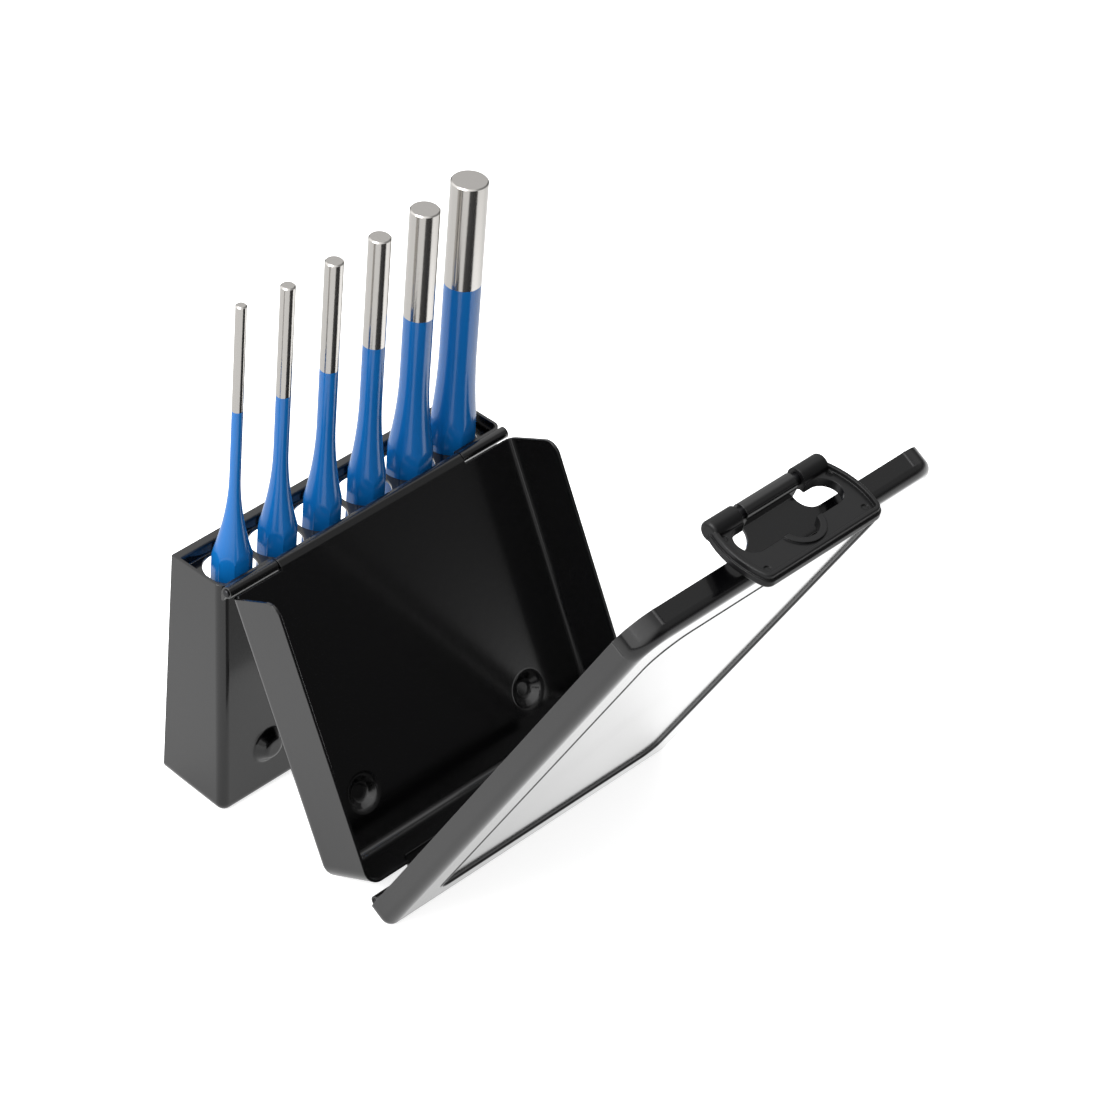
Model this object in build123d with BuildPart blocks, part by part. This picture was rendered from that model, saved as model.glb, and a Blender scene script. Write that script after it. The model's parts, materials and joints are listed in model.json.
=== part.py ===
from build123d import *
from math import acos, atan2, cos, degrees, hypot, radians, sin, tan
import os

# Pin punch set in a folding sheet steel case, in millimetres.
# The case stands open on its hinges in a zigzag: the holder with its six punches stands at
# the back, the tray leans back against it, and the lid leans away from the tray's foot.
# X runs along the hinges, +Y is the side of the holder, +Z is up and the floor is z = 0.

# Sheet steel of the case
sheet = 0.8
bend = 2.5
case_width = 101.0

# Holder, the half that carries the punches
holder_height = 76.8
holder_top_depth = 18.8
holder_bottom_depth = 23.1
holder_bottom_slope = 3.8
holder_lean = 3.05
holder_corner = 3.0

# Tray, the half that the punch tips swing into
tray_height = 80.6
tray_depth = 18.5
tray_corner = 4.5
tray_lip_corner = 4.0

# Lid
lid_side_gap = 1.2
lid_end_gap = 0.9
lid_depth = 7.3
lid_lean = 32.9
lid_bend = 3.0
lid_hinge_corner = 3.2
lid_free_corner = 8.5
panel_inset = 12.0
panel_step = 0.7
panel_corner = 5.0
panel_free_corner = 10.0
panel_draft = 40.0
panel_bend = 0.8
panel_foot_bend = 0.3
pleat_radius = 0.55
pleat_proud = 0.3

# Rolled hinges and their wire pins
pin_radius = 1.0
pin_clearance = 0.06
pin_seat = 0.01
knuckle_radius = 1.65
knuckle_gap = 0.3
middle_knuckle = 66.0
knuckle_inset = 0.5
knuckle_relief = 0.4
pin_point = 0.2
hinge_standoff = 1.3
hinge_to_holder_top = 1.0
hinge_to_tray_top = 1.4
lid_hinge_drop = 4.6
lid_hinge_inset = 0.8
lid_hinge_rise = 0.5
hinge_lip_spare = 3.5

# Pressed feet on the outside of the case
foot_radius = 5.3
foot_top_radius = 2.8
foot_height = 2.5
foot_crown_bend = 1.6
foot_root_bend = 1.2
foot_up = 15.5
tray_foot_x = 30.5
holder_foot_x = 34.0

# Punch plate, recessed in the top of the holder
plate_drop = 3.4
plate_margin = 2.75
hole_web = 1.5
hole_depth = 8.4
riser_gap = 0.5
riser_bend = 0.4
plate_tab = 6.0

# Punches: nearly one length, with a ground pin at the top and an octagonal shank below
punch_pins = [3.0, 4.0, 5.0, 6.0, 8.0, 10.0]
punch_lengths = [151.4, 149.8, 149.7, 149.6, 150.6, 152.2]
slim_shank = 10.0
stout_shank = 12.0
stout_from = 8.0
shank_length = 75.0
taper_length = 25.0
pin_chamfer = 0.35
shank_chamfer = 0.8
punch_turns = [-13, -4, 0, 0, 0, 0]
punch_lean = 2.4
punch_shift = 0.5
punch_seat_gap = 0.15

# Lug on the free end of the lid and the moulded latch that turns on it
lug_width = 17.5
lug_flare = 5.0
lug_reach = 7.85
lug_standoff = 2.6
lug_bend_up = 5.0
lug_knee = 0.6
latch_pin_radius = 1.6
latch_pin_cover = 1.2
latch_tilt = 20.0
latch_width = 39.7
latch_bow = 2.1
latch_length = 20.2
latch_front = 1.6
latch_back = 2.2
latch_step = 0.5
latch_rim = 1.1
latch_recess = 1.2
latch_corner = 2.7
latch_front_edge = 0.4
latch_back_edge = 0.9
barrel_radius = 2.8
barrel_opening = 21.5
barrel_edge = 1.0
window_width = 35.0
window_height = 8.9
window_up = 7.55
catch_radius = 5.0
catch_wall = 1.7
catch_up = 10.85
catch_rise = 0.5
ejector_radius = 0.9
ejector_sink = 0.3
ejector_spots = [(18.4, 3.8), (17.1, 16.6)]

half_width = case_width / 2
inner_half = half_width - sheet
lid_half = half_width + lid_side_gap + sheet
middle_end = middle_knuckle / 2
side_start = middle_end + knuckle_gap
side_end = half_width - knuckle_inset
lid_side_end = lid_half - lid_hinge_corner
lug_roll_radius = latch_pin_radius + sheet
bottom_rise = holder_bottom_depth * tan(radians(holder_bottom_slope))
plate_up = holder_height - plate_drop

# The holes fill the plate from one margin to the other, with a web between two of them.
hole_pitch = (case_width - 2 * sheet - 2 * plate_margin + hole_web) / len(punch_pins)
hole_radius = (hole_pitch - hole_web) / 2
riser = hole_depth + hole_radius + riser_gap

# The lid covers both halves when the case is folded flat.
lid_length = (
    lid_hinge_drop
    + tray_height
    + hinge_to_tray_top
    + holder_height
    - hinge_to_holder_top
    + lid_end_gap
    + sheet
)

# Hinge axes, as depth and height in the side view of each shell
holder_hinge = (-hinge_standoff, holder_height - hinge_to_holder_top)
tray_hinge = (-hinge_standoff, tray_height + hinge_to_tray_top)
tray_foot_hinge = (tray_depth - lid_hinge_inset, -lid_hinge_drop)
lid_hinge = (lid_depth + lid_hinge_rise, 0)
latch_hinge = (lid_depth + lug_reach, lid_length + lug_standoff)


def side_plane(y, z, lean, facing):
    """Plane of a shell's side view: local x is its depth and local y runs up along its wall.

    Facing is 1 where the open side of the shell looks to +Y and -1 where it looks to -Y.
    """
    slope = radians(lean)
    depth_way = (0, facing * cos(slope), sin(slope))
    return Plane(origin=(0, y, z), x_dir=depth_way, z_dir=(facing, 0, 0))


def face_plane(side):
    """Plane of a shell's outer wall, with local y up along it and its depth as normal."""
    return Plane(origin=side.origin, x_dir=-side.z_dir, z_dir=side.x_dir)


def spot(side, depth, up):
    """Point in space at a depth and a height in a shell's side view."""
    return side.from_local_coords(Vector(depth, up, 0))


def floor_height(radius, lean, bottom_slope=0):
    """Height of a bent edge's sharp corner when its round rests on the floor."""
    slope = radians(bottom_slope)
    centre_up = radius * (1 / cos(slope) + tan(slope))
    return radius - centre_up * cos(radians(lean)) - radius * sin(radians(lean))


def stand_up(hinge_y):
    """Side views of holder, tray, lid and latch, standing on the floor about the top hinge."""
    slope = radians(holder_lean)
    depth, up = holder_hinge
    holder_z = floor_height(bend, holder_lean, holder_bottom_slope)
    hinge_z = holder_z + up * cos(slope) + depth * sin(slope)
    holder = side_plane(hinge_y + up * sin(slope) - depth * cos(slope), holder_z, holder_lean, 1)

    slope = radians(lid_lean)
    lid_z = floor_height(lid_bend, lid_lean)
    foot_z = lid_z + lid_hinge[0] * sin(slope)

    # The tray hangs between both hinges, so its lean follows from their heights.
    run = tray_hinge[1] - tray_foot_hinge[1]
    rise = tray_foot_hinge[0] - tray_hinge[0]
    slope = acos((hinge_z - foot_z) / hypot(run, rise)) - atan2(rise, run)
    tray_y = hinge_y + tray_hinge[0] * cos(slope) - tray_hinge[1] * sin(slope)
    tray_z = hinge_z - tray_hinge[0] * sin(slope) - tray_hinge[1] * cos(slope)
    tray = side_plane(tray_y, tray_z, degrees(slope), -1)

    foot = spot(tray, *tray_foot_hinge)
    lid = side_plane(foot.Y - lid_hinge[0] * cos(radians(lid_lean)), lid_z, lid_lean, 1)

    tilt = radians(latch_tilt)
    outward = lid.y_dir * cos(tilt) + lid.x_dir * sin(tilt)
    latch = Plane(origin=spot(lid, *latch_hinge), x_dir=outward, z_dir=lid.z_dir)
    return holder, tray, lid, latch


# The front and the back of the open case lie equally far from the origin.
trial_holder, trial_tray, trial_lid, trial_latch = stand_up(0)
back_y = spot(trial_holder, holder_bottom_depth, bottom_rise).Y
front_y = spot(trial_latch, 0, latch_length).Y
holder_side, tray_side, lid_side, latch_side = stand_up(-(back_y + front_y) / 2)


def farthest(shapes, way):
    """The shape that lies farthest in a direction."""
    return shapes.sort_by(Axis((0, 0, 0), way))[-1]


def round_bends(part, side, corner, edge_bend):
    """Rounds a block's bottom corners and the edges of its outer wall."""
    bottom = farthest(part.faces(), -side.y_dir)
    ends = farthest(part.faces(), side.x_dir).edges()
    wall = farthest(part.faces(), -side.x_dir)
    fillet(bottom.edges() - ends - wall.edges(), corner)
    wall = farthest(part.faces(), -side.x_dir)
    top = farthest(part.faces(), side.y_dir)
    fillet(wall.edges() - top.edges(), edge_bend)


def hollow(part, *ways):
    """Hollows a block to the sheet's thickness, open in the given directions."""
    mouths = [farthest(part.faces(), way) for way in ways]
    offset(amount=-sheet, openings=mouths)


def edges_at(part, side, depth, up):
    """Edges along X that show as one point in a side view."""
    point = spot(side, depth, up)
    along = part.edges().filter_by(Axis.X)
    return along.filter_by(lambda edge: (edge.center() - point).cross(Vector(1, 0, 0)).length < 0.01)


def foot_rings(part, side, depth):
    """Round edges of the pressed feet that lie at a depth."""

    def is_ring(edge):
        centre = side.to_local_coords(edge.arc_center)
        return abs(centre.X - depth) < 0.01 and abs(centre.Y - foot_up) < 0.01

    return part.edges().filter_by(GeomType.CIRCLE).filter_by(is_ring)


def press_feet(shell, side, x):
    """Presses two hollow feet outwards in a shell's outer wall."""
    outside = Plane(origin=side.origin, x_dir=side.z_dir, z_dir=-side.x_dir)
    slant = degrees(atan2(foot_radius - foot_top_radius, foot_height))
    inside_radius = foot_radius - sheet * tan(radians(slant) / 2)
    with BuildSketch(outside) as dome:
        with Locations((-x, foot_up), (x, foot_up)):
            Circle(foot_radius)
    extrude(dome.sketch, amount=foot_height, taper=slant)
    with BuildSketch(outside.offset(-sheet)) as dish:
        with Locations((-x, foot_up), (x, foot_up)):
            Circle(inside_radius)
    extrude(dish.sketch, amount=foot_height, taper=slant, mode=Mode.SUBTRACT)
    fillet(foot_rings(shell.part, side, -foot_height), foot_crown_bend + sheet)
    fillet(foot_rings(shell.part, side, 0), foot_root_bend)
    fillet(foot_rings(shell.part, side, sheet - foot_height), foot_crown_bend)
    fillet(foot_rings(shell.part, side, sheet), foot_root_bend + sheet)


def curl(hinge, root, way=1):
    """Side view of a rolled knuckle with the strip that carries it, from root to the hinge.

    Way is 1 where the knuckle stands beyond the shell's top and -1 beyond its bottom.
    """
    depth, up = hinge
    wall, start = root
    thick = sheet if wall + sheet > depth else -sheet
    with Locations((depth, up)):
        Circle(knuckle_radius)
    lean = radians(40)
    reach = knuckle_radius if thick > 0 else -knuckle_radius
    Polygon(
        (wall, start),
        (wall + thick, start),
        (wall + thick, up - 0.3 * way * knuckle_radius),
        (depth + reach * cos(lean), up + way * knuckle_radius * sin(lean)),
        (depth, up),
        align=None,
    )


def bore(side, hinge, radius):
    """Bores a knuckle line through from side to side."""
    with BuildSketch(side) as hole:
        with Locations(hinge):
            Circle(radius)
    extrude(hole.sketch, amount=lid_half, both=True, mode=Mode.SUBTRACT)


# Holder: a trough open at the back and the top, with a bottom that rises to the back
with BuildPart() as holder_shell:
    with BuildSketch(holder_side):
        Polygon(
            (0, 0),
            (holder_bottom_depth, bottom_rise),
            (holder_top_depth, holder_height),
            (0, holder_height),
            align=None,
        )
    extrude(amount=half_width, both=True)
    round_bends(holder_shell, holder_side, holder_corner, bend)
    hollow(holder_shell, holder_side.x_dir, holder_side.y_dir)
    press_feet(holder_shell, holder_side, holder_foot_x)
    with BuildSketch(face_plane(holder_side)):
        with Locations((0, holder_height)):
            Rectangle(2 * side_start, 2 * (hinge_to_holder_top + knuckle_radius + knuckle_relief))
    extrude(amount=bend, both=True, mode=Mode.SUBTRACT)
    for start in (side_start, -side_end):
        with BuildSketch(holder_side.offset(start)):
            curl(holder_hinge, (0, holder_hinge[1] - 2 * knuckle_radius))
        extrude(amount=side_end - side_start)
    bore(holder_side, holder_hinge, pin_radius + pin_clearance)
holder_shell.part.label = "holder_shell"

# Punch plate: six holes, sides folded down, and a riser behind up to a strip along the rim
with BuildPart() as punch_plate:
    with BuildSketch(face_plane(holder_side).offset(bend)) as fold:
        with Locations((0, plate_up - plate_tab)):
            Rectangle(2 * inner_half, plate_tab, align=(Align.CENTER, Align.MIN))
            inside = (2 * (inner_half - sheet), plate_tab - sheet)
            Rectangle(*inside, align=(Align.CENTER, Align.MIN), mode=Mode.SUBTRACT)
        rows = fold.vertices().group_by(Axis.Y)
        fillet(rows[-2], sheet)
        fillet(fold.vertices().group_by(Axis.Y)[-1], 2 * sheet)
    extrude(amount=riser - bend)
    riser_line = [
        (riser, holder_height),
        (holder_top_depth, holder_height),
        (holder_top_depth, holder_height - sheet),
        (riser + sheet, holder_height - sheet),
        (riser + sheet, plate_up - sheet),
    ]
    with BuildSketch(holder_side) as flat:
        Polygon((sheet, plate_up - sheet), (sheet, plate_up), (riser, plate_up), *riser_line, align=None)
        fillet(flat.vertices().sort_by_distance((riser, plate_up))[0], riser_bend)
        fillet(flat.vertices().sort_by_distance((riser, holder_height))[0], sheet)
    extrude(amount=inner_half - 2 * sheet, both=True)
    with BuildSketch(holder_side) as wall:
        Polygon((riser, plate_up - sheet), *riser_line, align=None)
        fillet(wall.vertices().sort_by_distance((riser, holder_height))[0], sheet)
    extrude(amount=inner_half, both=True)
    holes_at = spot(holder_side, hole_depth, plate_up)
    with BuildSketch(Plane(holes_at, x_dir=(1, 0, 0), z_dir=holder_side.y_dir)):
        with GridLocations(hole_pitch, 1, len(punch_pins), 1):
            Circle(hole_radius)
    extrude(amount=-2 * sheet, mode=Mode.SUBTRACT)
punch_plate.part.label = "punch_plate"

# Tray: a trough open at its rim and its top, with two pressed feet
with BuildPart() as tray:
    with BuildSketch(tray_side):
        Rectangle(tray_depth, tray_height, align=(Align.MIN, Align.MIN))
    extrude(amount=half_width, both=True)
    round_bends(tray, tray_side, tray_corner, bend)
    hollow(tray, tray_side.x_dir, tray_side.y_dir)
    fillet(edges_at(tray.part, tray_side, tray_depth, tray_height), tray_lip_corner)
    press_feet(tray, tray_side, tray_foot_x)
    with BuildSketch(tray_side):
        curl(tray_hinge, (0, tray_height - knuckle_radius))
        curl(tray_foot_hinge, (tray_depth, sheet), -1)
    extrude(amount=middle_end, both=True)
    with BuildSketch(tray_side):
        with Locations((tray_depth - sheet / 2, 0)):
            Rectangle(sheet, 2 * (lid_hinge_drop - knuckle_radius - knuckle_relief))
    extrude(amount=middle_end + hinge_lip_spare, both=True)
    bore(tray_side, tray_hinge, pin_radius + pin_seat)
    bore(tray_side, tray_foot_hinge, pin_radius + pin_seat)
tray.part.label = "tray"

def panel_outline(plane, spread):
    """Outline of the lid's sunk panel, widened by spread, with larger corners at the free end."""
    with BuildSketch(plane) as outline:
        with Locations((0, lid_length / 2)):
            width = 2 * (lid_half - panel_inset + spread)
            Rectangle(width, lid_length - 2 * (panel_inset - spread))
        rows = outline.vertices().group_by(Axis.Y)
        fillet(rows[-1], panel_free_corner + spread)
        fillet(outline.vertices().group_by(Axis.Y)[0], panel_corner + spread)
    return outline


def panel_edges(part, depth):
    """Edges round the lid's sunk panel that lie flat at a depth."""
    reach = lid_half - (panel_inset + lid_bend) / 2

    def is_round_panel(edge):
        centre = lid_side.to_local_coords(edge.center())
        ends = [lid_side.to_local_coords(vertex.center()).X for vertex in edge.vertices()]
        flat = all(abs(end - depth) < 0.01 for end in ends)
        past_end = abs(centre.Y - lid_length / 2) > lid_length / 2 - (panel_inset + lid_bend) / 2
        return flat and abs(centre.Z) < reach and not past_end

    return part.edges().filter_by(is_round_panel)


# Lid: a shallow tray with a recessed panel, knuckles at its hinge end and a lug at its free end
with BuildPart() as lid:
    with BuildSketch(lid_side):
        Rectangle(lid_depth, lid_length, align=(Align.MIN, Align.MIN))
    extrude(amount=lid_half, both=True)
    depth_edges = lid.edges().filter_by(Axis((0, 0, 0), lid_side.x_dir))
    upwards = depth_edges.sort_by(Axis((0, 0, 0), lid_side.y_dir))
    fillet(upwards[:2], lid_hinge_corner)
    depth_edges = lid.edges().filter_by(Axis((0, 0, 0), lid_side.x_dir))
    upwards = depth_edges.sort_by(Axis((0, 0, 0), lid_side.y_dir))
    fillet(upwards[-2:], lid_free_corner)
    fillet(farthest(lid.faces(), -lid_side.x_dir).edges(), lid_bend)
    hollow(lid, lid_side.x_dir)

    spread = sheet * tan(radians(90 - panel_draft) / 2)
    raised = panel_outline(face_plane(lid_side).offset(sheet), spread)
    extrude(raised.sketch, amount=panel_step, taper=panel_draft)
    sunk = panel_outline(face_plane(lid_side), 0)
    extrude(sunk.sketch, amount=panel_step, taper=panel_draft, mode=Mode.SUBTRACT)
    fillet(panel_edges(lid.part, 0), panel_bend + sheet)
    fillet(panel_edges(lid.part, panel_step), panel_foot_bend)
    fillet(panel_edges(lid.part, sheet), panel_bend)
    fillet(panel_edges(lid.part, sheet + panel_step), panel_foot_bend + sheet)

    corner_x = lid_half - lid_free_corner
    corner_up = lid_length - lid_free_corner
    rib_reach = lid_free_corner - pleat_radius + pleat_proud
    with BuildSketch(face_plane(lid_side).offset(lid_bend)):
        for way in (-1, 1):
            with Locations((way * (corner_x + rib_reach), corner_up)):
                Circle(pleat_radius)
            with Locations((way * corner_x, corner_up + rib_reach)):
                Circle(pleat_radius)
    extrude(amount=lid_depth - lid_bend)

    with BuildSketch(lid_side):
        with Locations(lid_hinge):
            Rectangle(2 * (knuckle_radius + knuckle_relief), 2 * bend)
    extrude(amount=side_start, both=True, mode=Mode.SUBTRACT)
    for start in (side_start, -lid_side_end):
        with BuildSketch(lid_side.offset(start)):
            with Locations(lid_hinge):
                Circle(knuckle_radius)
                Rectangle(2 * knuckle_radius, sheet, align=(Align.MAX, Align.MIN))
        extrude(amount=lid_side_end - side_start)
    bore(lid_side, lid_hinge, pin_radius + pin_clearance)

    lug_root = spot(lid_side, lid_depth, lid_length)
    with BuildSketch(Plane(lug_root, x_dir=lid_side.z_dir, z_dir=lid_side.y_dir)):
        Rectangle(lug_width + 2 * lug_flare, 2 * lug_flare)
        with Locations(*[(side * (lug_width / 2 + lug_flare), lug_flare) for side in (-1, 1)]):
            Circle(lug_flare, mode=Mode.SUBTRACT)
    extrude(amount=-sheet)
    with BuildSketch(lid_side):
        roll_depth = latch_hinge[0] - lug_roll_radius
        bend_depth = lid_depth + lug_bend_up
        Polygon(
            (lid_depth, lid_length - sheet),
            (lid_depth, lid_length),
            (bend_depth, lid_length),
            (roll_depth, latch_hinge[1]),
            (roll_depth + sheet, latch_hinge[1]),
            (bend_depth + lug_knee, lid_length - sheet),
            align=None,
        )
        with Locations(latch_hinge):
            Circle(lug_roll_radius)
            Circle(latch_pin_radius + pin_seat, mode=Mode.SUBTRACT)
    extrude(amount=lug_width / 2, both=True)
lid.part.label = "lid"

# Latch: a moulded plate with a raised rim, two barrels on the pin and a window for the catch
latch_face = face_plane(latch_side)
with BuildPart() as latch:
    with BuildSketch(latch_face.offset(-latch_back)) as outline:
        with BuildLine():
            Line((-latch_width / 2, 0), (latch_width / 2, 0))
            ThreePointArc(
                (latch_width / 2, 0),
                (latch_width / 2 + latch_bow, latch_length / 2),
                (latch_width / 2, latch_length),
            )
            Line((latch_width / 2, latch_length), (-latch_width / 2, latch_length))
            ThreePointArc(
                (-latch_width / 2, latch_length),
                (-latch_width / 2 - latch_bow, latch_length / 2),
                (-latch_width / 2, 0),
            )
        make_face()
        fillet(outline.vertices().group_by(Axis.Y)[-1], latch_corner)
    extrude(amount=latch_back)
    fillet(latch.faces().sort_by(Axis((0, 0, 0), latch_side.x_dir))[0].edges(), latch_back_edge)
    with BuildSketch(latch_face):
        add(outline.sketch_local)
        offset(amount=-latch_step, kind=Kind.INTERSECTION)
    extrude(amount=latch_front)
    fillet(latch.faces().sort_by(Axis((0, 0, 0), latch_side.x_dir))[-1].edges(), latch_front_edge)
    with BuildSketch(latch_face.offset(latch_front)):
        add(outline.sketch_local)
        offset(amount=-latch_step - latch_rim, kind=Kind.INTERSECTION)
    extrude(amount=-latch_recess, mode=Mode.SUBTRACT)
    recess_at = latch_front - latch_recess
    with BuildSketch(latch_face.offset(recess_at)):
        with Locations((0, catch_up)):
            Circle(catch_radius + catch_wall)
    extrude(amount=catch_rise)
    for way in (-1, 1):
        with BuildSketch(latch_face) as half_barrel:
            with Locations((way * (latch_width + barrel_opening) / 4, 0)):
                Rectangle((latch_width - barrel_opening) / 2, barrel_radius, align=(Align.CENTER, Align.MIN))
            outer = half_barrel.vertices().group_by(Axis.X)[0 if way < 0 else -1]
            fillet(outer.sort_by(Axis.Y)[-1], barrel_edge)
        revolve(axis=Axis(latch_side.origin, (1, 0, 0)))
    with BuildSketch(latch_face):
        with Locations((0, window_up)):
            SlotOverall(window_width, window_height)
        with Locations((0, catch_up)):
            Circle(catch_radius)
        Rectangle(barrel_opening, 2 * window_up)
    extrude(amount=barrel_radius, both=True, mode=Mode.SUBTRACT)
    with BuildSketch(latch_face.offset(recess_at)):
        with Locations(*[(side * x, up) for side in (-1, 1) for x, up in ejector_spots]):
            Circle(ejector_radius)
    extrude(amount=-ejector_sink, mode=Mode.SUBTRACT)
    with BuildSketch(latch_side.offset(latch_pin_cover - latch_width / 2)) as pin_bore:
        Circle(latch_pin_radius + pin_clearance)
    extrude(pin_bore.sketch, amount=latch_width, mode=Mode.SUBTRACT)
latch.part.label = "latch"


def hinge_wire(side, hinge, radius, reach):
    """Wire pin along a hinge axis, reaching equally far to both sides of the side view."""
    with BuildPart() as wire:
        with BuildSketch(side):
            with Locations(hinge):
                Circle(radius)
        extrude(amount=reach, both=True)
        chamfer(wire.edges().filter_by(GeomType.CIRCLE), pin_point)
    return wire


holder_hinge_pin = hinge_wire(holder_side, holder_hinge, pin_radius, half_width)
holder_hinge_pin.part.label = "holder_hinge_pin"
lid_hinge_pin = hinge_wire(lid_side, lid_hinge, pin_radius, lid_side_end)
lid_hinge_pin.part.label = "lid_hinge_pin"
pin_middle = latch_side.offset(latch_pin_cover / 2)
pin_reach = (latch_width - latch_pin_cover) / 2 - pin_point
latch_pin = hinge_wire(pin_middle, (0, 0), latch_pin_radius, pin_reach)
latch_pin.part.label = "latch_pin"


def make_punch(size, length, turn, x):
    """Punch with a pin of the given size, standing on the holder's bottom through a plate hole.

    Turn is how far its shank has turned about its own axis, in degrees.
    """
    shank = stout_shank if size >= stout_from else slim_shank
    corner = shank / 2 / cos(radians(22.5))
    lean = radians(punch_lean)
    slope = radians(holder_bottom_slope)
    axis = holder_side.y_dir * cos(lean) + Vector(sin(lean), 0, 0)
    rest = sheet / cos(slope) + (hole_depth + corner) * tan(slope)
    seat_up = rest + corner * sin(lean) + punch_seat_gap
    hole = spot(holder_side, hole_depth, plate_up) + Vector(x + punch_shift, 0, 0)
    seat = hole - axis * (plate_up - seat_up) / cos(lean)
    across = Plane(origin=seat, x_dir=axis.cross(holder_side.x_dir) * -1, z_dir=axis)
    along = Plane(origin=seat, x_dir=across.x_dir, z_dir=-across.y_dir)
    with BuildPart() as punch:
        with BuildSketch(across):
            RegularPolygon(shank / 2, 8, major_radius=False, rotation=22.5 + turn)
        extrude(amount=length)
        with BuildSketch(along):
            with BuildLine():
                taper_end = (size / 2, shank_length + taper_length)
                Polyline(
                    taper_end,
                    (size / 2, length - pin_chamfer),
                    (size / 2 - pin_chamfer, length),
                    (0, length),
                    (0, 0),
                    (corner - shank_chamfer, 0),
                    (corner, shank_chamfer),
                    (corner, shank_length),
                )
                TangentArc(taper_end, (corner, shank_length), tangent=(0, -1))
            make_face()
        revolve(axis=Axis(seat, axis), mode=Mode.INTERSECT)
    return punch


pieces = [
    tray,
    holder_shell,
    punch_plate,
    lid,
    latch,
    holder_hinge_pin,
    lid_hinge_pin,
    latch_pin,
]
for number, (size, length, turn) in enumerate(zip(punch_pins, punch_lengths, punch_turns)):
    x = (number - (len(punch_pins) - 1) / 2) * hole_pitch
    punch = make_punch(size, length, turn, x)
    punch.part.label = f"punch_{size:g}_mm"
    pieces.append(punch)

os.makedirs("parts", exist_ok=True)
for piece in pieces:
    export_step(piece.part, f"parts/{piece.part.label}.step")
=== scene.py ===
"""Looks of a pin punch set in a folding sheet steel case, built round its CAD frame.

The case stands open in a zigzag: the holder with its six punches at the back, the tray that
leans against it, and the lid with its moulded latch in front. Sizes are in millimetres in the
dataclasses below and in metres in the scene, in the frame's own axes.
"""

from __future__ import annotations

import json
import logging
import math
from dataclasses import dataclass, field
from enum import Enum
from typing import Any

import bpy
from mathutils import Matrix, Vector

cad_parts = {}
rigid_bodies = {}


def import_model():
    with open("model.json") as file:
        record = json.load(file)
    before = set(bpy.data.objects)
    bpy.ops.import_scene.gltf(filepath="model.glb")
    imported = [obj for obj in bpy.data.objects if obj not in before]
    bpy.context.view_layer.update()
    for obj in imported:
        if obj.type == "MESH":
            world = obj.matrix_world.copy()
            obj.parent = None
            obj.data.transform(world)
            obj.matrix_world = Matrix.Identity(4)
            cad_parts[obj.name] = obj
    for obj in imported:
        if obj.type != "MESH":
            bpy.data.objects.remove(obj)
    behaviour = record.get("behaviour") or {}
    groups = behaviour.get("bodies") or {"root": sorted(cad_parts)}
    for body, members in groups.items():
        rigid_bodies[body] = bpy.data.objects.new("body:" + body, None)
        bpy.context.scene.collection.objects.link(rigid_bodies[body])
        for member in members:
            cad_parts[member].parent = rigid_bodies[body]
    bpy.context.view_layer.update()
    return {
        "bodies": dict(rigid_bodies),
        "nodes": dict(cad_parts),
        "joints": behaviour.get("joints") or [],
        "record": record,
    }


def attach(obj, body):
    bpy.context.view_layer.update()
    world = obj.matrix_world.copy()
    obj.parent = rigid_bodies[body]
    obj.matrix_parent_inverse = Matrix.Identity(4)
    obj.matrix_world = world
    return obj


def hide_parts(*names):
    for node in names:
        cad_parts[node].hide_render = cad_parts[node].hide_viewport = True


LOG = logging.getLogger("punch_set")
MM = 0.001

# Rays that look round each shaded spot, for rounded edges and for the painted shade under the
# case.
SHADE_SAMPLES = 4


class Slot(Enum):
    """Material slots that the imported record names."""

    CASE = "case_paint"
    LATCH = "latch_plastic"
    WIRE = "hinge_steel"
    PUNCH = "punch_steel"


def linear(hex_colour: str) -> tuple[float, float, float, float]:
    """Turns an sRGB hex colour into the linear colour that a shader socket takes.

    Args:
        hex_colour: Colour such as "#1a5fa8".

    Returns:
        Linear red, green and blue, and an alpha of 1.
    """
    parts = [int(hex_colour[i : i + 2], 16) / 255 for i in (1, 3, 5)]
    red, green, blue = (
        c / 12.92 if c <= 0.04045 else ((c + 0.055) / 1.055) ** 2.4 for c in parts
    )
    return red, green, blue, 1.0


def add_node(
    tree: bpy.types.NodeTree, kind: str, inputs: dict[Any, Any] | None = None, **settings: Any
) -> bpy.types.Node:
    """Adds a node to a tree, with its settings, its values and its links.

    Args:
        tree: Tree that gets the node.
        kind: Blender's type name of the node.
        inputs: Value, socket or node for each input, by name or number. A node gives its
            first output.
        settings: Properties of the node itself.

    Returns:
        The new node.
    """
    node = tree.nodes.new(kind)
    for name, value in settings.items():
        setattr(node, name, value)
    for key, value in (inputs or {}).items():
        if isinstance(value, bpy.types.Node):
            value = value.outputs[0]
        if isinstance(value, bpy.types.NodeSocket):
            tree.links.new(value, node.inputs[key])
        else:
            node.inputs[key].default_value = value
    return node


def ramp(
    tree: bpy.types.NodeTree,
    value: bpy.types.NodeSocket,
    ends: tuple[float, float],
    results: tuple[float, float],
    **settings: Any,
) -> bpy.types.Node:
    """Turns one range of a value into another, and holds it at both ends.

    Args:
        tree: Tree that gets the node.
        value: The value.
        ends: Where the range starts and ends.
        results: What it gives at its start and at its end.
        settings: Properties of the node itself.

    Returns:
        The new value.
    """
    inputs = {
        "Value": value,
        "From Min": ends[0],
        "From Max": ends[1],
        "To Min": results[0],
        "To Max": results[1],
    }
    return add_node(tree, "ShaderNodeMapRange", inputs, **settings)


def new_material(name: str) -> tuple[bpy.types.Material, bpy.types.NodeTree]:
    """Makes an empty node material.

    Args:
        name: Name of the material.

    Returns:
        The material and its cleared node tree.
    """
    material = bpy.data.materials.new(name)
    material.use_nodes = True
    material.node_tree.nodes.clear()
    return material, material.node_tree


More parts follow.
